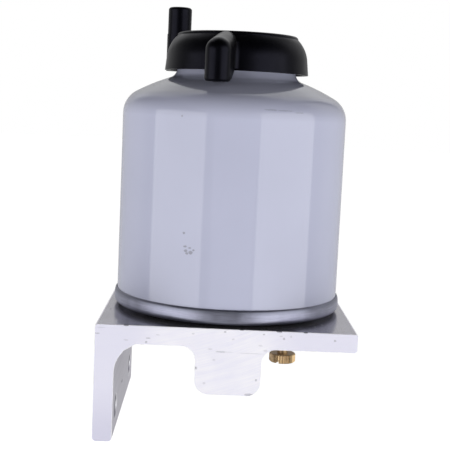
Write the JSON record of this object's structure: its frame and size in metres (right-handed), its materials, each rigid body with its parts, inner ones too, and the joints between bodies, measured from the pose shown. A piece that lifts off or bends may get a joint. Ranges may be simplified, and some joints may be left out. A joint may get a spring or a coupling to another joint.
{
  "type": "spin-on fuel filter on a bracket",
  "caption": "Spin-on fuel filter can with a turning drain collar, screwed on a short length of extruded aluminium bracket with a knurled bleed screw.",
  "frame": {"origin": "middle of the outlet port's mouth, on the underside of the bracket's boss and on the can's axis", "axes": "+Z along the can's axis away from the bracket, -X out of the leg's outer face, -Y towards the sawn front end in the picture"},
  "size_m": [0.1016, 0.0963, 0.173],
  "materials": {
    "bracket_aluminium": "mill finish, sawn ends, lightly scratched",
    "can_paint": "glossy pale lavender-grey baked paint",
    "seam_zinc": "satin zinc plate",
    "plated_steel": "zinc plated, satin",
    "spring_steel": "dark spring steel",
    "brass": "turned and straight knurled, dull",
    "collar_plastic": "satin black moulding",
    "seat_plastic": "black moulding",
    "seal_rubber": "black nitrile rubber",
    "filter_paper": "resin-treated pleated paper"
  },
  "bodies": {
    "head": {"filter_head": "bracket_aluminium", "centre_stud": "plated_steel"},
    "gasket": {"base_gasket": "seal_rubber"},
    "canister": {"can_shell": "can_paint", "seam_ring": "seam_zinc", "base_plate": "plated_steel", "element_grommet": "seal_rubber", "lower_end_cap": "plated_steel", "upper_end_cap": "plated_steel", "centre_tube": "plated_steel", "pleated_paper": "filter_paper", "element_spring": "spring_steel", "drain_seat": "seat_plastic", "seat_gasket": "seal_rubber", "seat_nut": "plated_steel", "port_seal": "seal_rubber", "vent_pipe": "seat_plastic", "retaining_clip": "spring_steel"},
    "collar": {"drain_collar": "collar_plastic", "collar_ring": "seal_rubber"},
    "bleed_seal": {"bleed_ring": "seal_rubber"},
    "bleed": {"bleed_screw": "brass"}
  },
  "joints": [
    {"name": "gasket_lift", "type": "slide", "parent": "head", "child": "gasket", "axis": [0, 0, 1], "range_m": [0, 0.00998]},
    {"name": "canister_turn", "type": "hinge", "parent": "gasket", "child": "canister", "pos_m": [0, 0, 0.0307], "axis": [0, 0, 1], "range_deg": [0, 1980]},
    {"name": "collar_turn", "type": "hinge", "parent": "canister", "child": "collar", "pos_m": [0, 0, 0.1372], "axis": [0, 0, 1], "range_deg": [0, 60]},
    {"name": "bleed_lift", "type": "slide", "parent": "head", "child": "bleed_seal", "axis": [0, 0, -1], "range_m": [0, 0.0025]},
    {"name": "bleed_turn", "type": "hinge", "parent": "bleed_seal", "child": "bleed", "pos_m": [0.02465, -0.012, 0.02], "axis": [0, 0, -1], "range_deg": [0, 900]}
  ],
  "couplings": [
    {"joint": "gasket_lift", "follows": "canister_turn", "m_per_rad": 0.00028871},
    {"joint": "bleed_turn", "follows": "bleed_lift", "rad_per_m": 6283.2}
  ]
}
